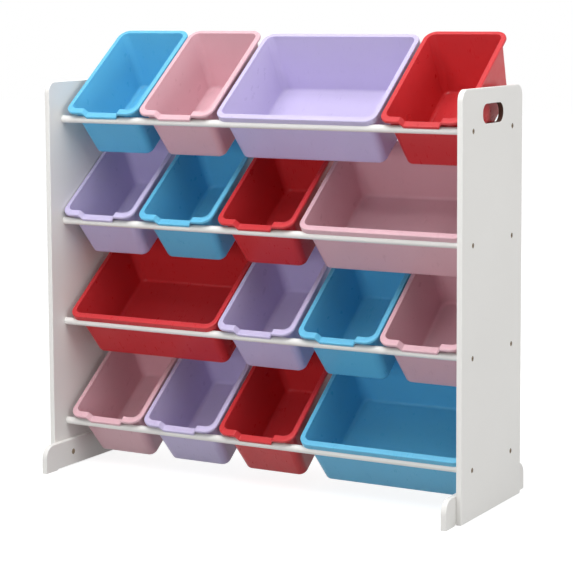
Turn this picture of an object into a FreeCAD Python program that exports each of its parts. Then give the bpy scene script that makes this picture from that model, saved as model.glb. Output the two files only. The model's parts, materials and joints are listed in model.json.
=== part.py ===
"""Toy storage organizer: a white four-tier rack that holds sixteen lift-out plastic bins.

Millimetres, +Z up. X runs along the rack and +X is the viewer's right, Y runs from the front (-Y) to
the back, and the origin lies on the floor under the middle of the rack.

How it goes together: two side panels are tied by eight round rods, one at the front and one at the
back of every tier, each held by a screw through the panel into a threaded insert in the rod's end.
A foot board is bolted to the inside of each panel. A bin leans on its two rods: the lip of its front
rim hooks over the front rod and its floor lies on the rear rod, which sets how far it tips forward.
"""
import FreeCAD, Part
import math
import os

import Sketcher

# Driving dimensions: spreadsheet alias, value, meaning. Lengths in mm, the tilt in degrees.
SIZES = [
    # bins
    ("small_bin_width", 199.0, "small bin, over its rim"),
    ("wide_bin_width", 405.0, "wide bin, over its rim"),
    ("small_bin_length", 311.0, "small bin, rim from front to back"),
    ("wide_bin_length", 304.0, "wide bin, rim from front to back"),
    ("bin_depth", 142.6, "small bin, rim top to underside of floor"),
    ("bin_wall", 2.2, "wall and floor thickness"),
    ("side_draft", 11.0, "how far each side wall leans in over a small bin's depth"),
    ("front_draft", 4.0, "the same for the front wall"),
    ("rear_draft", 34.0, "the same for the rear wall"),
    ("base_corner_radius", 19.0, "upright corners at the floor"),
    ("base_round", 10.0, "rounding between floor and walls"),
    ("rim_corner_radius", 28.0, "rim corner, seen from above"),
    ("rim_overhang", 8.8, "rim outside the side and rear walls"),
    ("small_front_overhang", 14.1, "small bin's rim outside its front wall, room for the rod"),
    ("wide_front_overhang", 11.9, "the same for a wide bin"),
    ("rim_thickness", 2.2, "flat top of the rim"),
    ("rim_round", 2.6, "rolled outer edge of the rim"),
    ("mouth_round", 0.8, "rounding of the rim's inner edge"),
    ("skirt_thickness", 2.2, "down-turned edge of the rim"),
    ("small_skirt_depth", 6.0, "small bin, top of rim or tab to the skirt's edge"),
    ("wide_skirt_depth", 13.0, "wide bin, rim top to the skirt's edge"),
    ("tab_drop", 12.4, "how far a small bin's front tab lies below its rim"),
    ("tab_width", 82.0, "flat part of the tab"),
    ("tab_shoulder", 9.0, "run of the slope at each end of the tab"),
    ("tab_bend_radius", 3.0, "rounding where the tab's slopes begin and end"),
    ("bin_tilt", 37.3, "bin tipped forward, between rim and level"),
    ("seat_gap", 0.3, "clearance between a bin and the rods that carry it"),
    ("bin_play", 43.0, "free width in a tier, shared out between its bins"),
    # rods
    ("rod_diameter", 17.0, "front and rear rods"),
    ("bottom_rod_height", 109.0, "floor to the axis of the lowest rods"),
    ("tier_pitch", 241.0, "one tier to the next"),
    # side panels
    ("panel_thickness", 12.5, "side panels"),
    ("rod_inset", 55.25, "panel edge to rod axis"),
    ("panel_head", 89.0, "axis of the top rods to the panel's top edge"),
    ("panel_floor_gap", 1.5, "floor to the panel's bottom edge"),
    ("panel_corner_radius", 25.0, "top corners"),
    ("panel_edge_round", 1.5, "eased edges of panels and foot boards"),
    ("slot_length", 108.0, "handle slot"),
    ("slot_height", 42.0, "handle slot"),
    ("slot_end_radius", 20.0, "rounded ends of the handle slot"),
    ("slot_below_top", 55.5, "panel's top edge to the middle of the slot"),
    # foot boards
    ("foot_thickness", 12.5, "foot boards"),
    ("foot_height", 64.0, "foot boards"),
    ("foot_overhang", 50.0, "foot board past the panel, front and back"),
    ("foot_end_radius", 30.0, "upper corners"),
    ("foot_pad_length", 43.0, "end that stands on the floor"),
    ("foot_relief", 3.0, "height of the hollow between the pads"),
    # fasteners
    ("thread_diameter", 6.0, "screws and bolts"),
    ("thread_gap", 0.2, "slack on the diameter between a thread and its insert"),
    ("shank_gap", 0.8, "slack on the diameter of the holes a shank passes through"),
    ("insert_diameter", 9.0, "threaded inserts"),
    ("insert_gap", 0.2, "slack on the diameter round an insert"),
    ("insert_length", 18.0, "insert in a rod's end"),
    ("rod_bore_depth", 22.0, "blind hole in a rod's end"),
    ("screw_length", 28.0, "rod screw, under its head"),
    ("head_diameter", 10.0, "head of a rod screw"),
    ("head_height", 3.2, "head of a rod screw"),
    ("recess_diameter", 11.5, "recess for a rod screw's head"),
    ("recess_depth", 4.0, "recess for a rod screw's head"),
    ("socket_size", 4.0, "hexagon socket across its flats"),
    ("socket_depth", 2.0, "hexagon socket"),
    ("foot_bolt_spacing", 202.0, "foot bolts, front to back"),
    ("foot_bolt_height", 33.0, "floor to a foot bolt's axis"),
    ("foot_bolt_length", 17.0, "foot bolt, under its head"),
    ("foot_head_diameter", 12.0, "head of a foot bolt"),
    ("foot_head_height", 3.0, "head of a foot bolt"),
    ("foot_recess_diameter", 13.5, "recess for a foot bolt's head"),
    ("foot_recess_depth", 3.5, "recess for a foot bolt's head"),
    ("foot_nut_length", 9.5, "threaded insert in a panel"),
    ("foot_nut_hole_depth", 10.0, "blind hole in a panel"),
]



def hook_sizes(kind, hook_depth):
    """How one kind of bin hooks over the front rod, as sizes that follow from the driving ones."""
    return [
        # From the rim's top to the edge that rides on the rod.
        (f"{kind}_hook_depth", hook_depth),
        # From the front skirt's outer face to the rod behind it, which nearly touches the wall.
        (f"{kind}_hook_reach", f"size.{kind}_front_overhang + size.front_draft"
         f" * (follow.{kind}_hook_depth + size.rod_diameter / 2) / size.bin_depth"
         " - size.seat_gap - size.rod_diameter / 2"),
        # From the rim's top down to the rod's axis.
        (f"{kind}_hook_fall", f"follow.{kind}_hook_depth + sqrt((size.rod_diameter / 2 + size.seat_gap) ^ 2"
         f" - (follow.{kind}_hook_reach - size.skirt_thickness) ^ 2)"),
    ]


# Sizes that follow from the driving ones, in the order in which they are worked out. A small bin
# hooks on with its lowered tab and a wide one with its whole front skirt.
FOLLOWERS = hook_sizes("small", "size.tab_drop + size.small_skirt_depth") + [
    *hook_sizes("wide", "size.wide_skirt_depth"),
    ("rod_spacing", "(size.bin_depth + size.rod_diameter / 2 + size.seat_gap - follow.small_hook_fall)"
     " / sin(size.bin_tilt)"),
    # Both kinds lie on the same rods at the same tilt, which sets how deep the wide ones are.
    ("small_bin_depth", "size.bin_depth"),
    ("wide_bin_depth", "size.bin_depth - follow.small_hook_fall + follow.wide_hook_fall"),
    ("rod_length", "3 * size.small_bin_width + size.wide_bin_width + size.bin_play"),
    ("panel_depth", "follow.rod_spacing + 2 * size.rod_inset"),
    ("top_rod_height", "size.bottom_rod_height + 3 * size.tier_pitch"),
    ("panel_top", "follow.top_rod_height + size.panel_head"),
    ("foot_length", "follow.panel_depth + 2 * size.foot_overhang"),
]

TIER_COUNT = 4

# Each tier from the left: colour, width, and the share of the tier's free width to the left of the
# bin. What is left over lies to the right of the last bin.
TIERS = [
    [("blue", "small", 0.38), ("pink", "small", 0.08), ("lilac", "wide", 0.18), ("red", "small", 0.25)],
    [("lilac", "small", 0.04), ("blue", "small", 0.32), ("red", "small", 0.35), ("pink", "wide", 0.24)],
    [("red", "wide", 0.36), ("lilac", "small", 0.13), ("blue", "small", 0.26), ("pink", "small", 0.08)],
    [("pink", "small", 0.38), ("lilac", "small", 0.14), ("red", "small", 0.16), ("blue", "wide", 0.25)],
]

# How close a point has to be to a line of the design to count as lying on it.
ON_LINE = 0.01
# How far the rounded bends of a tab, and the mouth's edge beside them, may stray from those lines.
BEND_SLACK = 1.0
MOUTH_SLACK = 0.3
# How far a cutting tool stands out of what it cuts.
TOOL_MARGIN = 1.0

doc = FreeCAD.newDocument("toy_organizer")
sheet = doc.addObject("Spreadsheet::Sheet", "size")
follow = doc.addObject("App::FeaturePython", "follow")
parts = []


def fill_sheet():
    """Writes the driving dimensions into the spreadsheet, one aliased row each."""
    for row, (alias, number, meaning) in enumerate(SIZES, start=1):
        sheet.set(f"A{row}", alias)
        sheet.set(f"B{row}", str(number))
        sheet.set(f"C{row}", meaning)
        sheet.setAlias(f"B{row}", alias)
    doc.recompute()


def fill_followers():
    """Adds the sizes that follow from the driving ones, as properties with expressions."""
    for name, expression in FOLLOWERS:
        follow.addProperty("App::PropertyFloat", name)
        follow.setExpression(name, expression)
        doc.recompute()


def value(expression):
    """The number that an expression gives now."""
    result = sheet.evalExpression(str(expression))
    return float(getattr(result, "Value", result))


# Sketches ---------------------------------------------------------------------------------------

def origin_feature(body, role):
    """One of the body's own base planes or axes."""
    return next(feature for feature in body.Origin.OriginFeatures if feature.Role == role)


def new_body(label, exported=True):
    """A body named after its part. One that only serves as a pattern for others isn't exported."""
    body = doc.addObject("PartDesign::Body", label)
    body.Label = label
    if exported:
        parts.append(body)
    return body


def new_sketch(body, name, plane, offset="0"):
    """A sketch on one of the body's base planes, moved along the plane's normal by an expression."""
    sketch = body.newObject("Sketcher::SketchObject", name)
    sketch.AttachmentSupport = [(origin_feature(body, plane), "")]
    sketch.MapMode = "FlatFace"
    sketch.setExpression("AttachmentOffset.Base.z", offset)
    return sketch


def pin(sketch, direction, geometry, point, expression):
    """Holds a point of the sketch at a distance from the sketch's origin, along X or Y."""
    number = value(expression)
    index = sketch.addConstraint(
        Sketcher.Constraint("Distance" + direction, -1, 1, geometry, point, number))
    sketch.setExpression(f"Constraints[{index}]", expression)


def polygon(sketch, corners):
    """A closed outline of straight lines through corners given as pairs of expressions."""
    points = [FreeCAD.Vector(value(x), value(y), 0) for x, y in corners]
    first = sketch.GeometryCount
    count = len(points)
    for start, end in zip(points, points[1:] + points[:1]):
        sketch.addGeometry(Part.LineSegment(start, end))
    for number in range(count):
        following = first + (number + 1) % count
        sketch.addConstraint(Sketcher.Constraint("Coincident", first + number, 2, following, 1))
    for number, (x, y) in enumerate(corners):
        pin(sketch, "X", first + number, 1, x)
        pin(sketch, "Y", first + number, 1, y)


def circle(sketch, x, y, diameter):
    """A circle whose centre and diameter are expressions."""
    centre = FreeCAD.Vector(value(x), value(y), 0)
    shape = Part.Circle(centre, FreeCAD.Vector(0, 0, 1), value(diameter) / 2)
    index = sketch.addGeometry(shape)
    pin(sketch, "X", index, 3, x)
    pin(sketch, "Y", index, 3, y)
    constraint = sketch.addConstraint(Sketcher.Constraint("Diameter", index, value(diameter)))
    sketch.setExpression(f"Constraints[{constraint}]", diameter)


def rectangle(sketch, left, right, low, high, radius, top_only=False):
    """A rectangle with four, or only its two upper, corners rounded. All sizes are expressions."""
    x0, x1, y0, y1, r = (value(size) for size in (left, right, low, high, radius))
    low_r = 0 if top_only else r
    vector = FreeCAD.Vector
    up = vector(0, 0, 1)

    def line(ax, ay, bx, by):
        return sketch.addGeometry(Part.LineSegment(vector(ax, ay, 0), vector(bx, by, 0)))

    def corner(cx, cy, start):
        whole = Part.Circle(vector(cx, cy, 0), up, r)
        return sketch.addGeometry(Part.ArcOfCircle(whole, start, start + math.pi / 2))

    bottom = line(x0 + low_r, y0, x1 - low_r, y0)
    right_side = line(x1, y0 + low_r, x1, y1 - r)
    top = line(x1 - r, y1, x0 + r, y1)
    left_side = line(x0, y1 - r, x0, y0 + low_r)
    arcs = [(right_side, corner(x1 - r, y1 - r, 0), top),
            (top, corner(x0 + r, y1 - r, math.pi / 2), left_side)]
    if top_only:
        sketch.addConstraint(Sketcher.Constraint("Coincident", left_side, 2, bottom, 1))
        sketch.addConstraint(Sketcher.Constraint("Coincident", bottom, 2, right_side, 1))
    else:
        arcs.append((left_side, corner(x0 + r, y0 + r, math.pi), bottom))
        arcs.append((bottom, corner(x1 - r, y0 + r, 3 * math.pi / 2), right_side))
    for before, arc, after in arcs:
        sketch.addConstraint(Sketcher.Constraint("Tangent", before, 2, arc, 1))
        sketch.addConstraint(Sketcher.Constraint("Tangent", arc, 2, after, 1))
    for level in (bottom, top):
        sketch.addConstraint(Sketcher.Constraint("Horizontal", level))
    for upright in (left_side, right_side):
        sketch.addConstraint(Sketcher.Constraint("Vertical", upright))
    first_arc = arcs[0][1]
    for _, arc, _ in arcs[1:]:
        sketch.addConstraint(Sketcher.Constraint("Equal", first_arc, arc))
    index = sketch.addConstraint(Sketcher.Constraint("Radius", first_arc, r))
    sketch.setExpression(f"Constraints[{index}]", radius)
    pin(sketch, "X", left_side, 1, left)
    pin(sketch, "X", right_side, 1, right)
    pin(sketch, "Y", bottom, 1, low)
    pin(sketch, "Y", top, 1, high)


# Features ---------------------------------------------------------------------------------------

def pad(body, sketch, name, length, backwards=False):
    feature = body.newObject("PartDesign::Pad", name)
    feature.Profile = sketch
    feature.Reversed = backwards
    feature.setExpression("Length", length)


def pocket(body, sketch, name, depth, backwards=False):
    """Cuts a pocket and makes sure that it took something away."""
    doc.recompute()
    volume_before = body.Shape.Volume
    feature = body.newObject("PartDesign::Pocket", name)
    feature.Profile = sketch
    feature.Reversed = backwards
    feature.setExpression("Length", depth)
    doc.recompute()
    if body.Shape.Volume >= volume_before:
        raise RuntimeError(f"{body.Label}: {name} cuts nothing")


def fillet(body, name, radius, chosen):
    """Rounds the edges of the body's tip for which chosen(edge) is true."""
    doc.recompute()
    base = body.Tip
    edges = [f"Edge{number}" for number, edge in enumerate(base.Shape.Edges, start=1) if chosen(edge)]
    if not edges:
        raise RuntimeError(f"{body.Label}: {name} finds no edge")
    feature = body.newObject("PartDesign::Fillet", name)
    feature.Base = (base, edges)
    feature.setExpression("Radius", radius)
    doc.recompute()


def revolve(body, sketch, name):
    """Turns a half profile about the body's X axis."""
    feature = body.newObject("PartDesign::Revolution", name)
    feature.Profile = sketch
    feature.ReferenceAxis = (origin_feature(body, "X_Axis"), [""])
    feature.Angle = 360


def repeat(body, name, *steps):
    """Repeats the whole body along its axes; each step is an axis, a count and a spacing."""
    whole = body.newObject("PartDesign::MultiTransform", name)
    whole.TransformMode = "Whole shape"
    patterns = []
    for axis, count, spacing in steps:
        pattern = body.newObject("PartDesign::LinearPattern", f"{name}_along_{axis}")
        pattern.Direction = (origin_feature(body, f"{axis}_Axis"), [""])
        pattern.Mode = "Spacing"
        pattern.Occurrences = count
        pattern.setExpression("Offset", spacing)
        patterns.append(pattern)
    whole.Transformations = patterns
    body.Tip = whole


def place(body, x="0", y="0", z="0", tilt=None):
    """Puts a body at a point given as expressions, tipped about X by an optional angle."""
    if tilt is not None:
        body.Placement = FreeCAD.Placement(
            FreeCAD.Vector(), FreeCAD.Rotation(FreeCAD.Vector(1, 0, 0), value(tilt)))
        body.setExpression("Placement.Rotation.Angle", tilt)
    for axis, expression in (("x", x), ("y", y), ("z", z)):
        body.setExpression(f"Placement.Base.{axis}", expression)


def points_of(edge):
    """Both ends and the middle of an edge, enough to tell which line of the design it lies on."""
    middle = (edge.FirstParameter + edge.LastParameter) / 2
    return [edge.valueAt(edge.FirstParameter), edge.valueAt(middle), edge.valueAt(edge.LastParameter)]


def distance_to_rectangle(point, half_width, low, high, radius):
    """Distance in plan from a rounded rectangle's outline, negative inside it."""
    half_height = (high - low) / 2
    across = abs(point.x) - half_width + radius
    along = abs(point.y - (low + high) / 2) - half_height + radius
    outside = math.hypot(max(across, 0), max(along, 0))
    return outside + min(max(across, along), 0) - radius


# Rack -------------------------------------------------------------------------------------------

def tier_height(tier):
    """Height of the rods' axes in a tier, counted from 1 at the top."""
    return f"(size.bottom_rod_height + {TIER_COUNT - tier} * size.tier_pitch)"


def rod_side(end):
    """Y of the front (-1) or rear (+1) rods."""
    return f"({end} * follow.rod_spacing / 2)"


def at_each_rod(sketch, diameter):
    """Circles where the rods meet a side panel."""
    for tier in range(1, TIER_COUNT + 1):
        for end in (-1, 1):
            circle(sketch, rod_side(end), tier_height(tier), diameter)


def at_each_foot_bolt(sketch, diameter):
    for end in (-1, 1):
        circle(sketch, f"{end} * size.foot_bolt_spacing / 2", "size.foot_bolt_height", diameter)


def make_side_panel(side):
    """A side panel, drawn with its outer face on the YZ plane; side is -1 on the left, +1 on the right.

    The sketches look along +X, so a pad to the right of the rack grows backwards, into the rack.
    """
    inwards = side > 0
    body = new_body("right_side_panel" if side > 0 else "left_side_panel")

    outline = new_sketch(body, "panel_outline", "YZ_Plane")
    rectangle(outline, "-follow.panel_depth / 2", "follow.panel_depth / 2", "size.panel_floor_gap",
              "follow.panel_top", "size.panel_corner_radius", top_only=True)
    pad(body, outline, "board", "size.panel_thickness", backwards=inwards)

    slot = new_sketch(body, "slot_outline", "YZ_Plane")
    rectangle(slot, "-size.slot_length / 2", "size.slot_length / 2",
              "follow.panel_top - size.slot_below_top - size.slot_height / 2",
              "follow.panel_top - size.slot_below_top + size.slot_height / 2", "size.slot_end_radius")
    pocket(body, slot, "handle_slot", "size.panel_thickness", backwards=not inwards)

    thickness = value("size.panel_thickness")

    def on_face_edge(edge):
        return all(min(abs(p.x), abs(abs(p.x) - thickness)) < ON_LINE for p in points_of(edge))

    fillet(body, "eased_edges", "size.panel_edge_round", on_face_edge)

    holes = new_sketch(body, "screw_holes", "YZ_Plane")
    at_each_rod(holes, "size.thread_diameter + size.shank_gap")
    pocket(body, holes, "shank_holes", "size.panel_thickness", backwards=not inwards)

    recesses = new_sketch(body, "screw_recesses", "YZ_Plane")
    at_each_rod(recesses, "size.recess_diameter")
    pocket(body, recesses, "head_recesses", "size.recess_depth", backwards=not inwards)

    nuts = new_sketch(body, "nut_holes", "YZ_Plane", f"{-side} * size.panel_thickness")
    at_each_foot_bolt(nuts, "size.insert_diameter + size.insert_gap")
    pocket(body, nuts, "foot_nut_holes", "size.foot_nut_hole_depth", backwards=inwards)

    place(body, x=f"{side} * (follow.rod_length / 2 + size.panel_thickness)")


def make_foot_board(side):
    """A foot board, drawn with its outer face, which lies on the panel, on the YZ plane."""
    inwards = side > 0
    body = new_body("right_foot_board" if side > 0 else "left_foot_board")

    outline = new_sketch(body, "foot_outline", "YZ_Plane")
    rectangle(outline, "-follow.foot_length / 2", "follow.foot_length / 2", "0", "size.foot_height",
              "size.foot_end_radius", top_only=True)
    pad(body, outline, "board", "size.foot_thickness", backwards=inwards)

    relief = new_sketch(body, "relief_outline", "YZ_Plane")
    reach = "follow.foot_length / 2 - size.foot_pad_length"
    polygon(relief, [(f"-({reach})", f"-{TOOL_MARGIN}"), (reach, f"-{TOOL_MARGIN}"),
                     (f"{reach} - size.foot_relief", "size.foot_relief"),
                     (f"-({reach} - size.foot_relief)", "size.foot_relief")])
    pocket(body, relief, "relief", "size.foot_thickness", backwards=not inwards)

    thickness = value("size.foot_thickness")
    relief_top = value("size.foot_relief") + ON_LINE

    def on_inner_top_edge(edge):
        middle = points_of(edge)[1]
        return abs(abs(middle.x) - thickness) < ON_LINE and middle.z > relief_top

    fillet(body, "eased_edges", "size.panel_edge_round", on_inner_top_edge)

    holes = new_sketch(body, "bolt_holes", "YZ_Plane")
    at_each_foot_bolt(holes, "size.thread_diameter + size.shank_gap")
    pocket(body, holes, "shank_holes", "size.foot_thickness", backwards=not inwards)

    recesses = new_sketch(body, "bolt_recesses", "YZ_Plane", f"{-side} * size.foot_thickness")
    at_each_foot_bolt(recesses, "size.foot_recess_diameter")
    pocket(body, recesses, "head_recesses", "size.foot_recess_depth", backwards=inwards)

    place(body, x=f"{side} * follow.rod_length / 2")


def make_rod(name, end, tier):
    """A rod between the panels, bored at both ends for its inserts."""
    body = new_body(f"{name}_rod_{tier}")
    half = "follow.rod_length / 2"
    bore = f"({half} - size.rod_bore_depth)"
    bore_radius = "(size.insert_diameter + size.insert_gap) / 2"
    profile = new_sketch(body, "rod_profile", "XY_Plane")
    polygon(profile, [(f"-{half}", bore_radius), (f"-{half}", "size.rod_diameter / 2"),
                      (half, "size.rod_diameter / 2"), (half, bore_radius), (bore, bore_radius),
                      (bore, "0"), (f"-{bore}", "0"), (f"-{bore}", bore_radius)])
    revolve(body, profile, "bored_rod")
    place(body, y=rod_side(end), z=tier_height(tier))


# Fasteners --------------------------------------------------------------------------------------

def make_screws(name, side, head, height, shank, seat, y, z, *steps):
    """Screws with hexagon sockets, drawn with the underside of the head on the YZ plane.

    side says which way the head points: +1 towards +X. The first screw stands at seat, y, z.
    """
    body = new_body(name)
    profile = new_sketch(body, "screw_profile", "XY_Plane")
    radius = "size.thread_diameter / 2"
    polygon(profile, [("0", radius), ("0", f"{head} / 2"), (f"{side} * {height}", f"{head} / 2"),
                      (f"{side} * {height}", "0"), (f"{-side} * {shank}", "0"),
                      (f"{-side} * {shank}", radius)])
    revolve(body, profile, "screw")
    socket = new_sketch(body, "socket_outline", "YZ_Plane", f"{side} * {height}")
    corner = "size.socket_size / sqrt(3)"
    polygon(socket, [(f"{corner} * {math.cos(math.radians(angle)):.6f}",
                      f"{corner} * {math.sin(math.radians(angle)):.6f}") for angle in range(0, 360, 60)])
    pocket(body, socket, "socket", "size.socket_depth", backwards=side < 0)
    repeat(body, "screw_set", *steps)
    place(body, seat, y, z)


def make_inserts(name, side, length, seat, y, z, *steps):
    """Threaded inserts, drawn with the end that meets the joint on the YZ plane, growing along side."""
    body = new_body(name)
    profile = new_sketch(body, "insert_profile", "XY_Plane")
    bore = "(size.thread_diameter + size.thread_gap) / 2"
    outside = "size.insert_diameter / 2"
    end = f"{side} * {length}"
    polygon(profile, [("0", bore), ("0", outside), (end, outside), (end, bore)])
    revolve(body, profile, "insert")
    repeat(body, "insert_set", *steps)
    place(body, seat, y, z)


def make_fasteners(side):
    """The screws, bolts and inserts of one side panel."""
    word = "right" if side > 0 else "left"
    rods = (rod_side(-1), tier_height(TIER_COUNT), ("Z", TIER_COUNT, "size.tier_pitch"),
            ("Y", 2, "follow.rod_spacing"))
    feet = ("-size.foot_bolt_spacing / 2", "size.foot_bolt_height", ("Y", 2, "size.foot_bolt_spacing"))
    inner_face = "follow.rod_length / 2"
    make_screws(f"rod_screws_{word}", side, "size.head_diameter", "size.head_height",
                "size.screw_length", f"{side} * ({inner_face} + size.panel_thickness - size.recess_depth)",
                *rods)
    make_inserts(f"rod_inserts_{word}", -side, "size.insert_length", f"{side} * {inner_face}", *rods)
    make_screws(f"foot_bolts_{word}", -side, "size.foot_head_diameter", "size.foot_head_height",
                "size.foot_bolt_length",
                f"{side} * ({inner_face} - size.foot_thickness + size.foot_recess_depth)", *feet)
    make_inserts(f"foot_nuts_{word}", side, "size.foot_nut_length", f"{side} * {inner_face}", *feet)


# Bins -------------------------------------------------------------------------------------------

# How much further back the front wall stands at the tab than at the rim.
TAB_LEAN = "size.front_draft * size.tab_drop / size.bin_depth"


def tab_line(below="0"):
    """The four points of a small bin's tab seen from the front, all lowered by an expression."""
    foot = "size.tab_width / 2"
    head = "(size.tab_width / 2 + size.tab_shoulder)"
    high = f"-({below})"
    low = f"-(size.tab_drop + {below})"
    return [(f"-{head}", high), (f"-{foot}", low), (foot, low), (head, high)]


def tab_profile():
    """A function that gives the height of a small bin's front rim at a distance x from the middle."""
    drop = value("size.tab_drop")
    slope = value("size.tab_drop / size.tab_shoulder")
    flat_end = value("size.tab_width / 2")
    return lambda x: min(0.0, max(abs(x) - flat_end, 0.0) * slope - drop)


def on_level(height):
    """Tells the edges that lie at a height given as an expression."""
    level = value(height)
    return lambda edge: all(abs(p.z - level) < ON_LINE for p in points_of(edge))


def taper(body, feature, name, kind, inset, depth):
    """A loft from the bin's mouth down to its base, drawn in by an inset all round."""
    half = f"(size.{kind}_bin_width / 2 - size.rim_overhang - {inset})"
    front = f"size.{kind}_front_overhang + {inset}"
    back = f"size.{kind}_bin_length - size.rim_overhang - {inset}"
    mouth = new_sketch(body, f"{name}_mouth", "XY_Plane")
    rectangle(mouth, f"-{half}", half, front, back, f"size.rim_corner_radius - size.rim_overhang - {inset}")
    # The walls of both kinds lean alike, whatever the depth.
    share = f"follow.{kind}_bin_depth / size.bin_depth"
    base = new_sketch(body, f"{name}_base", "XY_Plane", f"-({depth})")
    rectangle(base, f"-({half} - size.side_draft * {share})", f"{half} - size.side_draft * {share}",
              f"{front} + size.front_draft * {share}", f"{back} - size.rear_draft * {share}",
              f"size.base_corner_radius - {inset}")
    loft = body.newObject(feature, name)
    loft.Profile = mouth
    loft.Sections = [base]
    loft.Ruled = True


def make_bin_pattern(kind, tab):
    """A bin, drawn level: X across, Y from the front skirt's outer face back, Z = 0 on the rim."""
    body = new_body(f"{kind}_bin_pattern", exported=False)
    length = f"size.{kind}_bin_length"
    half = f"size.{kind}_bin_width / 2"
    depth = f"follow.{kind}_bin_depth"

    taper(body, "PartDesign::AdditiveLoft", "tapered_block", kind, "0", depth)
    taper(body, "PartDesign::SubtractiveLoft", "cavity", kind, "size.bin_wall", f"{depth} - size.bin_wall")
    fillet(body, "rounded_floor", "size.base_round - size.bin_wall", on_level(f"size.bin_wall - {depth}"))
    fillet(body, "rounded_base", "size.base_round", on_level(f"-{depth}"))

    rim = new_sketch(body, "rim_outline", "XY_Plane")
    outer = (f"-{half}", half, "0", length, "size.rim_corner_radius")
    rectangle(rim, *outer)
    lap = "size.bin_wall / 2"
    rectangle(rim, f"-({half} - size.rim_overhang - {lap})", f"{half} - size.rim_overhang - {lap}",
              f"size.{kind}_front_overhang + {lap}", f"{length} - size.rim_overhang - {lap}",
              f"size.rim_corner_radius - size.rim_overhang - {lap}")
    pad(body, rim, "rim", "size.rim_thickness", backwards=True)

    skirt = new_sketch(body, "skirt_outline", "XY_Plane")
    rectangle(skirt, *outer)
    rectangle(skirt, f"-({half} - size.skirt_thickness)", f"{half} - size.skirt_thickness",
              "size.skirt_thickness", f"{length} - size.skirt_thickness",
              "size.rim_corner_radius - size.skirt_thickness")
    pad(body, skirt, "skirt", f"size.{kind}_skirt_depth", backwards=True)
    if tab:
        add_tab(body)

    wall = value("size.bin_wall")
    side_inset = value("size.rim_overhang") + wall
    front_inset = value(f"size.{kind}_front_overhang") + wall
    mouth_slack = value(TAB_LEAN) + MOUTH_SLACK
    rim_edge = edge_at_inset(kind, tab, 0.0, 0.0, ON_LINE)
    mouth_edge = edge_at_inset(kind, tab, side_inset, front_inset, mouth_slack)
    fillet(body, "rounded_mouth", "size.mouth_round", mouth_edge)
    fillet(body, "rolled_rim", "size.rim_round", rim_edge)
    return body


def make_bin(label, kind, pattern, tier, centre):
    """A copy of a bin pattern, leaning on the rods of its tier."""
    body = new_body(label)
    copy = body.newObject("PartDesign::FeatureBase", "bin")
    copy.BaseFeature = pattern
    body.Tip = copy
    reach = f"follow.{kind}_hook_reach"
    fall = f"follow.{kind}_hook_fall"
    lean = "size.bin_tilt"
    place(body, centre, f"{rod_side(-1)} - {reach} * cos({lean}) - {fall} * sin({lean})",
          f"{tier_height(tier)} - {reach} * sin({lean}) + {fall} * cos({lean})", lean)


def edge_at_inset(kind, tab, side_inset, front_inset, slack):
    """Tells the edges on top of the rim that follow its outline, drawn in from the sides and front."""
    half = value(f"size.{kind}_bin_width / 2")
    back = value(f"size.{kind}_bin_length") - side_inset
    radius = value("size.rim_corner_radius") - side_inset
    front_limit = front_inset + slack
    bends = (value("size.tab_width / 2"), value("size.tab_width / 2 + size.tab_shoulder"))
    bend_reach = value("size.tab_bend_radius")
    height_at = tab_profile()

    def on_top(point):
        if not tab or point.y > front_limit:
            return abs(point.z) < ON_LINE
        in_bend = any(abs(abs(point.x) - bend) < bend_reach for bend in bends)
        return abs(point.z - height_at(point.x)) < (BEND_SLACK if in_bend else ON_LINE)

    def on_outline(point):
        return abs(distance_to_rectangle(point, half - side_inset, front_inset, back, radius)) < slack

    return lambda edge: all(on_top(p) and on_outline(p) for p in points_of(edge))


def add_tab(body):
    """Lowers the middle of a small bin's front rim into a tab that hooks over the rod."""
    head = "(size.tab_width / 2 + size.tab_shoulder)"
    dip = new_sketch(body, "dip_outline", "XZ_Plane")
    polygon(dip, tab_line() + [(head, f"{TOOL_MARGIN}"), (f"-{head}", f"{TOOL_MARGIN}")])
    pocket(body, dip, "dip", f"size.small_front_overhang + 2 * size.bin_wall + {TAB_LEAN}")

    plate = new_sketch(body, "tab_plate_outline", "XZ_Plane")
    polygon(plate, tab_line() + tab_line("size.rim_thickness")[::-1])
    pad(body, plate, "tab_plate", f"size.small_front_overhang + (size.bin_wall + {TAB_LEAN}) / 2",
        backwards=True)

    apron = new_sketch(body, "tab_skirt_outline", "XZ_Plane")
    polygon(apron, tab_line() + tab_line("size.small_skirt_depth")[::-1])
    pad(body, apron, "tab_skirt", "size.skirt_thickness", backwards=True)

    bends = (value("size.tab_width / 2"), value(head))
    wall_back = value(f"size.small_front_overhang + 2 * size.bin_wall + {TAB_LEAN}")
    height_at = tab_profile()

    def at_bend(point):
        beside = min(abs(abs(point.x) - bend) for bend in bends)
        return beside < ON_LINE and abs(point.z - height_at(point.x)) < ON_LINE and point.y < wall_back

    def on_bend(edge):
        start, _, end = points_of(edge)
        return abs(start.y - end.y) > ON_LINE and all(at_bend(p) for p in points_of(edge))

    fillet(body, "eased_bends", "size.tab_bend_radius", on_bend)


def make_bins():
    """Fills every tier from the left, each bin after the widths and gaps that come before it."""
    patterns = {"small": make_bin_pattern("small", tab=True), "wide": make_bin_pattern("wide", tab=False)}
    for tier, row in enumerate(TIERS, start=1):
        left = "-follow.rod_length / 2"
        for number, (colour, kind, share) in enumerate(row, start=1):
            width = f"size.{kind}_bin_width"
            left = f"{left} + {share} * size.bin_play"
            label = f"{colour}_bin_tier{tier}_{number}"
            make_bin(label, kind, patterns[kind], tier, f"{left} + {width} / 2")
            left = f"{left} + {width}"


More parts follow.
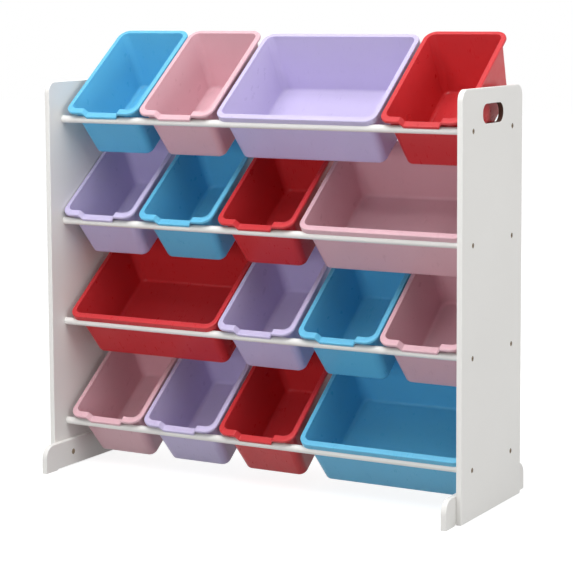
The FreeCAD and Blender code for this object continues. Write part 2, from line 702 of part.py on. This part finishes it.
def check_and_export():
    """Stops on any failed object or bad shape, then writes one file for each part."""
    doc.recompute()
    for item in doc.Objects:
        if {"Invalid", "Error"} & set(item.State):
            raise RuntimeError(f"{item.Label} failed: {item.State}")
    os.makedirs("parts", exist_ok=True)
    for part in parts:
        shape = part.Shape
        if shape.isNull() or not shape.isValid():
            raise RuntimeError(f"{part.Label} has a bad shape")
        shape.exportStep(f"parts/{part.Label}.step")
        print(f"{part.Label}: {len(shape.Solids)} solids, {shape.Volume / 1000:.1f} cm3")


fill_sheet()
fill_followers()
for panel_side in (-1, 1):
    make_side_panel(panel_side)
    make_foot_board(panel_side)
    make_fasteners(panel_side)
for rod_tier in range(1, TIER_COUNT + 1):
    make_rod("front", -1, rod_tier)
    make_rod("rear", 1, rod_tier)
make_bins()
check_and_export()
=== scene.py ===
# %% [markdown]
# # A toy organizer with tilted bins, dressed in Blender
#
# The organizer is a white rack of two side panels and eight rods that carries sixteen plastic bins.
# Its construction comes ready-made: every piece was drawn to size elsewhere and is loaded here as a
# fixed frame. This notebook adds what the eye sees: paint, plastic, plated steel, light and a camera.
#
# We load the frame first.

import json
import math
from collections import namedtuple

import bpy
from mathutils import Matrix, Vector


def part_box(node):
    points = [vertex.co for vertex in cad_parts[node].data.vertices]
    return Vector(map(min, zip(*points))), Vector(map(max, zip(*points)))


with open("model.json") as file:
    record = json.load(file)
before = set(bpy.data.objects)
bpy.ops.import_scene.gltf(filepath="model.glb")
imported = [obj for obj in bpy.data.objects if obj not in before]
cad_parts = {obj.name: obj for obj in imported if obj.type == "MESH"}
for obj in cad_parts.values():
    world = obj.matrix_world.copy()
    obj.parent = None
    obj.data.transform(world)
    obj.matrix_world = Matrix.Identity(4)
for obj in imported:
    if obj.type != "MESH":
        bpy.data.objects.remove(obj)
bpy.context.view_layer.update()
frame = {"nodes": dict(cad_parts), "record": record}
pieces = frame["nodes"]

# %% [markdown]
# ## Camera
#
# A product photo like this one is taken from a few metres away with a long lens, so the rack's
# upright edges stay nearly parallel. The camera stands in front of the right-hand end, turned 30
# degrees towards the rack and tipped down a little. The frame was cropped after the shot, which moves
# the picture's middle away from the lens axis: Blender's lens shift does the same.
#
# The first four values are in pixels of the square picture, and the camera's place is in metres.

# %% Camera
IMAGE_WIDTH = 573
LENS_AXIS_COLUMN = 275.44
LENS_AXIS_ROW = 190.79
FOCAL_LENGTH_PIXELS = 1938.04
CAMERA_PLACE = Vector((2.1996, -3.8168, 1.1022))
CAMERA_TURN = math.radians(30.002)
CAMERA_DIP = math.radians(5.539)
CAMERA_ROLL = math.radians(-0.332)
SENSOR_WIDTH_MM = 36


def camera_turned(turn, dip, roll):
    """A rotation that looks along +Y turned towards -X, tipped down and rolled."""
    forward = Vector((-math.sin(turn) * math.cos(dip), math.cos(turn) * math.cos(dip), -math.sin(dip)))
    level_right = Vector((math.cos(turn), math.sin(turn), 0))
    level_up = level_right.cross(forward)
    right = math.cos(roll) * level_right + math.sin(roll) * level_up
    up = right.cross(forward)
    return Matrix((right, up, -forward)).transposed().to_4x4()


camera_data = bpy.data.cameras.new("photo_camera")
camera_data.sensor_width = SENSOR_WIDTH_MM
camera_data.lens = FOCAL_LENGTH_PIXELS / IMAGE_WIDTH * SENSOR_WIDTH_MM
camera_data.shift_x = 0.5 - LENS_AXIS_COLUMN / IMAGE_WIDTH
camera_data.shift_y = LENS_AXIS_ROW / IMAGE_WIDTH - 0.5
camera = bpy.data.objects.new("photo_camera", camera_data)
camera.matrix_world = (Matrix.Translation(CAMERA_PLACE)
                       @ camera_turned(CAMERA_TURN, CAMERA_DIP, CAMERA_ROLL))
bpy.context.scene.collection.objects.link(camera)
bpy.context.scene.camera = camera
print(f"lens {camera_data.lens:.1f} mm, shift {camera_data.shift_x:.4f}, {camera_data.shift_y:.4f}")

# %% [markdown]
# ## Helpers for materials
#
# A material in Blender is a small network of nodes. A few short helpers keep the rest readable: they
# start a material, add a node with its inputs set or linked, and blend colours. Every pattern below
# uses the object's own coordinates, which are metres, so a scale of 1000 means grains about a
# millimetre across.

# %% Material helpers
# A Mix node carries sockets for numbers, vectors and colours side by side. These are the colours' own.
MIX_SHARE, MIX_FIRST, MIX_SECOND = 0, 6, 7
MIX_RESULT = 2


def new_finish(name):
    """A material with only its main shader, and the coordinates that its patterns lie in."""
    material = bpy.data.materials.new(name)
    material.use_nodes = True
    shader = material.node_tree.nodes["Principled BSDF"]
    place = add(material, "ShaderNodeTexCoord", "own_coordinates").outputs["Object"]
    return material, shader, place


def connect(material, socket, given):
    """Sets a socket: a link if it is given another node's output, a plain value if not."""
    if isinstance(given, bpy.types.NodeSocket):
        material.node_tree.links.new(given, socket)
    else:
        socket.default_value = given


def add(material, kind, name, inputs=None):
    """Adds a named node. Inputs are looked up by their name or their number."""
    node = material.node_tree.nodes.new(kind)
    node.name = node.label = name
    for key, given in (inputs or {}).items():
        connect(material, node.inputs[key], given)
    return node


def maths(material, operation, name, *values):
    """One sum, product or comparison of up to three values."""
    node = add(material, "ShaderNodeMath", name, dict(enumerate(values)))
    node.operation = operation
    return node.outputs[0]


def stretched(material, name, place, scale):
    """The same coordinates, squeezed along each axis, which draws a grain out into streaks."""
    return add(material, "ShaderNodeMapping", name, {"Vector": place, "Scale": scale}).outputs["Vector"]


def noise(material, name, place, scale, detail=2.0):
    """Cloudy grain from 0 to 1, a size of about 1 / scale metres."""
    return add(material, "ShaderNodeTexNoise", name,
               {"Vector": place, "Scale": scale, "Detail": detail}).outputs["Fac"]


def between(material, name, source, low, high, start=0.0, end=1.0):
    """Carries a value that runs from start to end over to one that runs from low to high."""
    return add(material, "ShaderNodeMapRange", name, {
        "Value": source, "From Min": start, "From Max": end, "To Min": low, "To Max": high,
    }).outputs["Result"]


def mixed(material, name, share, first, second):
    """A colour between two others."""
    node = add(material, "ShaderNodeMix", name)
    node.data_type = "RGBA"
    connect(material, node.inputs[MIX_SHARE], share)
    connect(material, node.inputs[MIX_FIRST], first)
    connect(material, node.inputs[MIX_SECOND], second)
    return node.outputs[MIX_RESULT]


def bump(material, name, height, depth, under=None):
    """Turns heights from 0 to 1 into relief of a depth in metres, on top of another bump."""
    node = add(material, "ShaderNodeBump", name, {"Height": height, "Distance": depth})
    if under is not None:
        connect(material, node.inputs["Normal"], under)
    return node.outputs["Normal"]


def tinted(colour, factor):
    """A lighter or darker version of a colour."""
    return tuple(min(1.0, part * factor) for part in colour[:3]) + (1.0,)


print("helpers ready")

# %% [markdown]
# ## Moulded plastic
#
# The bins are injection-moulded in a tough, slightly waxy plastic. Its skin isn't a mirror: the mould
# was etched with a fine texture, and the walls are a little wavy where they shrank as they cooled. A
# flat colour would look like paper, so three patterns work together: broad clouds shift the tone by a
# few percent, fine grain breaks up the highlight, and long soft waves bend it. Handling leaves faint
# rub marks, and bins that slide in and out of a rack gather hair-thin scratches that run with the
# slide. Both are too shallow to cast a shade, so they vary only the gloss.
#
# A wall only two millimetres thick isn't quite opaque: held against a bright room it glows. Subsurface
# scattering, with a reach of a few millimetres, carries that light through.

# %% Moulded plastic
PLASTIC_COLOURS = {
    "blue_plastic": (0.125, 0.470, 0.710, 1.0),
    "pink_plastic": (0.690, 0.430, 0.480, 1.0),
    "lilac_plastic": (0.540, 0.485, 0.710, 1.0),
    "red_plastic": (0.570, 0.034, 0.040, 1.0),
}
CLOUD_SCALE = 7.0
CLOUD_DARKEST = 0.93
CLOUD_LIGHTEST = 1.06
SKIN_GRAIN_SCALE = 1500.0
SKIN_GRAIN_DEPTH = 0.000012
SHRINK_WAVE_SCALE = 16.0
SHRINK_WAVE_DEPTH = 0.0012
RUB_SCALE = 55.0
SCRATCH_STRETCH = (520.0, 30.0, 30.0)
SCRATCH_SHARE = 0.5
LEAST_WEAR = 0.35
MOST_WEAR = 0.65
GLOSS_LOW = 0.26
GLOSS_HIGH = 0.40
SHEEN_LEVEL = 0.30
GLOW_WEIGHT = 0.30
GLOW_REACH = 0.006
GLOW_SAME_FOR_ALL_COLOURS = (1.0, 1.0, 1.0)


def moulded_plastic(name, colour):
    """Waxy plastic of one colour, with grain, soft waves, rub marks and scratches."""
    material, shader, place = new_finish(name)
    clouds = noise(material, "tone_clouds", place, CLOUD_SCALE, detail=3.0)
    tone = mixed(material, "tone", clouds, tinted(colour, CLOUD_DARKEST), tinted(colour, CLOUD_LIGHTEST))
    grain = noise(material, "etched_grain", place, SKIN_GRAIN_SCALE)
    waves = noise(material, "shrink_waves", place, SHRINK_WAVE_SCALE, detail=1.0)
    rubs = noise(material, "rub_marks", place, RUB_SCALE, detail=5.0)
    slide_way = stretched(material, "slide_way", place, SCRATCH_STRETCH)
    scratches = noise(material, "slide_scratches", slide_way, 1.0)
    worn = mixed(material, "wear", SCRATCH_SHARE, rubs, scratches)
    skin = bump(material, "shrink_relief", waves, SHRINK_WAVE_DEPTH)
    skin = bump(material, "grain_relief", grain, SKIN_GRAIN_DEPTH, under=skin)
    connect(material, shader.inputs["Base Color"], tone)
    connect(material, shader.inputs["Roughness"],
            between(material, "gloss", worn, GLOSS_LOW, GLOSS_HIGH, start=LEAST_WEAR, end=MOST_WEAR))
    connect(material, shader.inputs["Normal"], skin)
    shader.inputs["Specular IOR Level"].default_value = SHEEN_LEVEL
    shader.inputs["Subsurface Weight"].default_value = GLOW_WEIGHT
    shader.inputs["Subsurface Radius"].default_value = GLOW_SAME_FOR_ALL_COLOURS
    shader.inputs["Subsurface Scale"].default_value = GLOW_REACH
    return material


finishes = {name: moulded_plastic(name, colour) for name, colour in PLASTIC_COLOURS.items()}
print("plastics:", ", ".join(finishes))

# %% [markdown]
# ## White paint on board and rod
#
# The panels and feet are fibreboard under a satin white paint. Sprayed paint dries with a very fine
# orange-peel skin, and the flat faces carry slow, faint changes of tone. The rods are painted wood as
# well and a little glossier, because their paint was drawn on rather than sprayed.

# %% White paint
PAINT_COLOUR = (0.790, 0.780, 0.755, 1.0)
PAINT_GLOSS = (0.38, 0.52)
ROD_COLOUR = (0.830, 0.820, 0.795, 1.0)
ROD_GLOSS = (0.28, 0.40)
PAINT_CLOUD_SCALE = 4.0
PAINT_DARKEST = 0.97
PAINT_LIGHTEST = 1.03
SMEAR_SCALE = 30.0
ORANGE_PEEL_SCALE = 420.0
ORANGE_PEEL_DEPTH = 0.00005


def painted(name, colour, gloss):
    """Satin paint of one colour, whose roughness wanders between the two values of gloss."""
    material, shader, place = new_finish(name)
    clouds = noise(material, "tone_clouds", place, PAINT_CLOUD_SCALE, detail=4.0)
    tone = mixed(material, "tone", clouds, tinted(colour, PAINT_DARKEST), tinted(colour, PAINT_LIGHTEST))
    peel = noise(material, "orange_peel", place, ORANGE_PEEL_SCALE)
    smears = noise(material, "satin_smears", place, SMEAR_SCALE, detail=4.0)
    connect(material, shader.inputs["Base Color"], tone)
    connect(material, shader.inputs["Roughness"], between(material, "gloss", smears, *gloss))
    connect(material, shader.inputs["Normal"], bump(material, "peel_relief", peel, ORANGE_PEEL_DEPTH))
    return material


finishes["white_board"] = painted("white_board", PAINT_COLOUR, PAINT_GLOSS)
finishes["white_rod"] = painted("white_rod", ROD_COLOUR, ROD_GLOSS)
print("paints ready")

# %% [markdown]
# ## Bare board inside the cuts
#
# The handle slots and the recesses for screw heads are routed after the boards are painted, so their
# walls show brown fibreboard. Their brown is darker than bare board under light: it is also painted
# shade, for the slot and the recesses that the light hardly reaches. The cuts are part of the same mesh
# as the painted faces. Rather than split the mesh, the paint gets a mask that says where the shaded bare
# board begins: inside the board, deeper than the paint, and within reach of a cut. The four tiers of
# screws are one pitch apart, so their heights wrap round to a single one, and mirrored sides share a
# test by leaving out the sign.

# %% Bare board inside the cuts, darkened as painted shade
# Fibreboard brown, made darker than bare board is: painted shade in the slot and the screw recesses.
BARE_BOARD_IN_SHADE = (0.120, 0.058, 0.038, 1.0)
BARE_BOARD_IN_SHADE_DARKER = (0.050, 0.024, 0.017, 1.0)
BARE_BOARD_ROUGHNESS = 0.95
FIBRE_SCALE = 900.0
PAINT_EDGE = 0.0007
SLOT_BELOW_TOP = 0.0555
SLOT_REACH_BACK = 0.056
SLOT_REACH_UP = 0.023
RECESS_REACH = 0.008
X, Y, Z = range(3)

Cut = namedtuple("Cut", "board, back, back_reach, heights, height, height_reach")


def middle(node, axis):
    """The middle of a piece's box along one axis."""
    low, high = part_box(node)
    return (low[axis] + high[axis]) / 2


def reach_inside(node):
    """How far the bare board reaches to each side of the middle of its thickness."""
    low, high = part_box(node)
    return (high[X] - low[X]) / 2 - PAINT_EDGE


def within(material, name, given, centre, reach):
    """1 where a value lies within reach of a centre, and 0 elsewhere."""
    return maths(material, "COMPARE", name, given, centre, reach)


TIER_PITCH = middle("front_rod_3", Z) - middle("front_rod_4", Z)
LOWEST_ROD = middle("front_rod_4", Z)
SLOT_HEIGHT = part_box("right_side_panel")[1][Z] - SLOT_BELOW_TOP

board = finishes["white_board"]
board_place = board.node_tree.nodes["own_coordinates"].outputs["Object"]
along = add(board, "ShaderNodeSeparateXYZ", "along", {0: board_place}).outputs
side = maths(board, "ABSOLUTE", "distance_sideways", along[X])
back = maths(board, "ABSOLUTE", "distance_back", along[Y])
tier = maths(board, "WRAP", "height_in_tier", along[Z],
             LOWEST_ROD + TIER_PITCH / 2, LOWEST_ROD - TIER_PITCH / 2)
bolt_low, bolt_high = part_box("foot_bolts_right")
bolt_head_radius = (bolt_high[Z] - bolt_low[Z]) / 2
CUTS = {
    "slot": Cut("right_side_panel", 0.0, SLOT_REACH_BACK, along[Z], SLOT_HEIGHT, SLOT_REACH_UP),
    "rod_screws": Cut("right_side_panel", middle("rear_rod_4", Y), RECESS_REACH,
                      tier, LOWEST_ROD, RECESS_REACH),
    "foot_bolts": Cut("right_foot_board", bolt_high[Y] - bolt_head_radius, RECESS_REACH,
                      along[Z], middle("foot_bolts_right", Z), RECESS_REACH),
}
# The mask for bare board, which also places the painted shade inside the cuts.
bare_and_shaded = None
for name, cut in CUTS.items():
    inside = within(board, f"{name}_deep", side, middle(cut.board, X), reach_inside(cut.board))
    beside = within(board, f"{name}_beside", back, cut.back, cut.back_reach)
    level = within(board, f"{name}_level", cut.heights, cut.height, cut.height_reach)
    area = maths(board, "MULTIPLY", f"{name}_area", beside, level)
    here = maths(board, "MULTIPLY", f"{name}_here", inside, area)
    bare_and_shaded = here if bare_and_shaded is None else maths(board, "MAXIMUM", f"bare_and_shaded_with_{name}", bare_and_shaded, here)

board_shader = board.node_tree.nodes["Principled BSDF"]
# Painted shade: the cuts' walls get the dark brown of shaded bare board instead of the paint.
fibres = noise(board, "board_fibres", board_place, FIBRE_SCALE, detail=4.0)
shaded_bare_tone = mixed(board, "shaded_bare_tone", fibres, BARE_BOARD_IN_SHADE_DARKER, BARE_BOARD_IN_SHADE)
paint_tone = board_shader.inputs["Base Color"].links[0].from_socket
connect(board, board_shader.inputs["Base Color"],
        mixed(board, "paint_or_shaded_board", bare_and_shaded, paint_tone, shaded_bare_tone))
paint_gloss = board_shader.inputs["Roughness"].links[0].from_socket
connect(board, board_shader.inputs["Roughness"],
        between(board, "gloss_or_board", bare_and_shaded, paint_gloss, BARE_BOARD_ROUGHNESS))
print("bare board shows in:", ", ".join(CUTS))

# %% [markdown]
# ## Metal fasteners
#
# The socket screws have a dull, bronze-toned plating, and the inserts in the rods are plain brass.
# Small metal parts look real through uneven gloss: fine turning marks and a hint of tarnish make the
# highlight break up instead of shining like a bead.

# %% Metals
METALS = {
    "screw_steel": ((0.160, 0.115, 0.075, 1.0), (0.380, 0.300, 0.210, 1.0)),
    "insert_brass": ((0.420, 0.300, 0.110, 1.0), (0.740, 0.580, 0.280, 1.0)),
}
METAL_GLOSS = (0.28, 0.55)
TARNISH_SCALE = 260.0
TURNING_SCALE = 2200.0
TURNING_DEPTH = 0.00002


def turned_metal(name, dull, bright):
    """Metal between a tarnished and a bright colour, with turning marks."""
    material, shader, place = new_finish(name)
    tarnish = noise(material, "tarnish", place, TARNISH_SCALE, detail=4.0)
    turning = noise(material, "turning_marks", place, TURNING_SCALE)
    connect(material, shader.inputs["Base Color"], mixed(material, "tone", tarnish, dull, bright))
    connect(material, shader.inputs["Roughness"], between(material, "gloss", tarnish, *METAL_GLOSS))
    connect(material, shader.inputs["Normal"], bump(material, "turning_relief", turning, TURNING_DEPTH))
    shader.inputs["Metallic"].default_value = 1.0
    return material


for name, (dull, bright) in METALS.items():
    finishes[name] = turned_metal(name, dull, bright)
print("metals:", ", ".join(METALS))

# %% [markdown]
# ## Dress every piece
#
# The frame's record says which finish each piece takes, so one loop dresses them all.

# %% Dress the frame
for part in frame["record"]["subparts"]:
    piece = pieces[part["node"]]
    for held in piece.material_slots:
        held.material = finishes[part["material_slot"]]
print(f"dressed {len(pieces)} pieces")

# %% [markdown]
# ## Floor and background
#
# The photo's background is plain white. Pouring on light until everything burns out would bleach the
# object too, so only what the camera sees directly is made white: the sky is white to the camera and a
# plain soft light to everything else, weak at eye level and stronger overhead, as in a studio. The
# floor adds a glow of its own for the camera while it still darkens where the rack shades it.

# %% Floor and background
FLOOR_HALF_WIDTH = 14.0
FLOOR_PAINT = (0.38, 0.38, 0.38, 1.0)
FLOOR_GLOW = 0.84
FLOOR_SHADOW_SHARE = (0.34, 0.34, 0.34, 1.0)
SKY_COLOUR = (1.0, 1.0, 1.0, 1.0)
SKY_LIGHT_OVERHEAD = 0.75
SKY_LIGHT_LEVEL = 0.25
BACKGROUND_WHITE = 1.0


def seen_directly(tree):
    """1 for rays from the camera, mirror-like reflections and light passing through."""
    path = tree.nodes.new("ShaderNodeLightPath")
    total = path.outputs["Is Camera Ray"]
    for name in ("Is Glossy Ray", "Is Transmission Ray"):
        both = tree.nodes.new("ShaderNodeMath")
        both.operation = "MAXIMUM"
        tree.links.new(total, both.inputs[0])
        tree.links.new(path.outputs[name], both.inputs[1])
        total = both.outputs[0]
    return total


world = bpy.data.worlds.new("studio")
world.use_nodes = True
sky = world.node_tree.nodes["Background"]
sky.inputs["Color"].default_value = SKY_COLOUR
direction = add(world, "ShaderNodeSeparateXYZ", "direction", {
    0: add(world, "ShaderNodeTexCoord", "sky_coordinates").outputs["Generated"]})
sky_light = between(world, "light_from_above", direction.outputs["Z"],
                    SKY_LIGHT_LEVEL, SKY_LIGHT_OVERHEAD)
sky_strength = between(world, "sky_strength", seen_directly(world.node_tree), sky_light, BACKGROUND_WHITE)
world.node_tree.links.new(sky_strength, sky.inputs["Strength"])
bpy.context.scene.world = world

floor_finish = bpy.data.materials.new("studio_floor")
floor_finish.use_nodes = True
floor_tree = floor_finish.node_tree
floor_tree.nodes.remove(floor_tree.nodes["Principled BSDF"])
real_floor = add(floor_finish, "ShaderNodeBsdfDiffuse", "floor_paint", {"Color": FLOOR_PAINT})
shaded_floor = add(floor_finish, "ShaderNodeBsdfDiffuse", "floor_shadows", {"Color": FLOOR_SHADOW_SHARE})
glow = add(floor_finish, "ShaderNodeEmission", "floor_glow", {"Strength": FLOOR_GLOW})
seen_floor = add(floor_finish, "ShaderNodeAddShader", "floor_as_seen",
                 {0: shaded_floor.outputs[0], 1: glow.outputs[0]})
floor_choice = add(floor_finish, "ShaderNodeMixShader", "floor_choice",
                   {0: seen_directly(floor_tree), 1: real_floor.outputs[0], 2: seen_floor.outputs[0]})
floor_tree.links.new(floor_choice.outputs[0], floor_tree.nodes["Material Output"].inputs["Surface"])

near, far = -FLOOR_HALF_WIDTH, FLOOR_HALF_WIDTH
floor_corners = [(near, near, 0), (far, near, 0), (far, far, 0), (near, far, 0)]
floor_mesh = bpy.data.meshes.new("studio_floor")
floor_mesh.from_pydata(floor_corners, [], [(0, 1, 2, 3)])
floor = bpy.data.objects.new("studio_floor", floor_mesh)
floor_mesh.materials.append(floor_finish)
bpy.context.scene.collection.objects.link(floor)
print("floor and sky ready")

# %% [markdown]
# ## Studio light
#
# Soft light from large panels: one overhead, a little in front, that makes the bins' rims the
# brightest lines of the picture, one from the right for the outside of the right panel, and a low one
# in front for the bins' front walls, which lean forward and see little of the light above. A weak one
# behind keeps the back from sinking into shade. Each has a place, a width in metres and a power in
# watts, and all of them point at the middle of the rack.

# %% Lamps
AIM_AT = Vector((0, 0, 0.5))
LAMPS = {
    "low_softbox": (Vector((-0.2, -3.5, 0.5)), 0.9, 24.0),
    "right_softbox": (Vector((3.7, -0.3, 1.8)), 1.8, 46.0),
    "top_softbox": (Vector((0.0, -1.2, 3.0)), 2.4, 68.0),
    "rear_softbox": (Vector((-2.2, 3.4, 2.0)), 2.0, 26.0),
}
for name, (stand, width, power) in LAMPS.items():
    lamp_data = bpy.data.lights.new(name, "AREA")
    lamp_data.shape = "SQUARE"
    lamp_data.size = width
    lamp_data.energy = power
    lamp = bpy.data.objects.new(name, lamp_data)
    lamp.matrix_world = (Matrix.Translation(stand)
                         @ (AIM_AT - stand).to_track_quat("-Z", "Y").to_matrix().to_4x4())
    bpy.context.scene.collection.objects.link(lamp)
print("lamps:", ", ".join(LAMPS))

# %% [markdown]
# ## Finish
#
# The colours were chosen as they should look, so the picture is shown without any film-like curve.

# %% View transform
bpy.context.scene.view_settings.view_transform = "Standard"
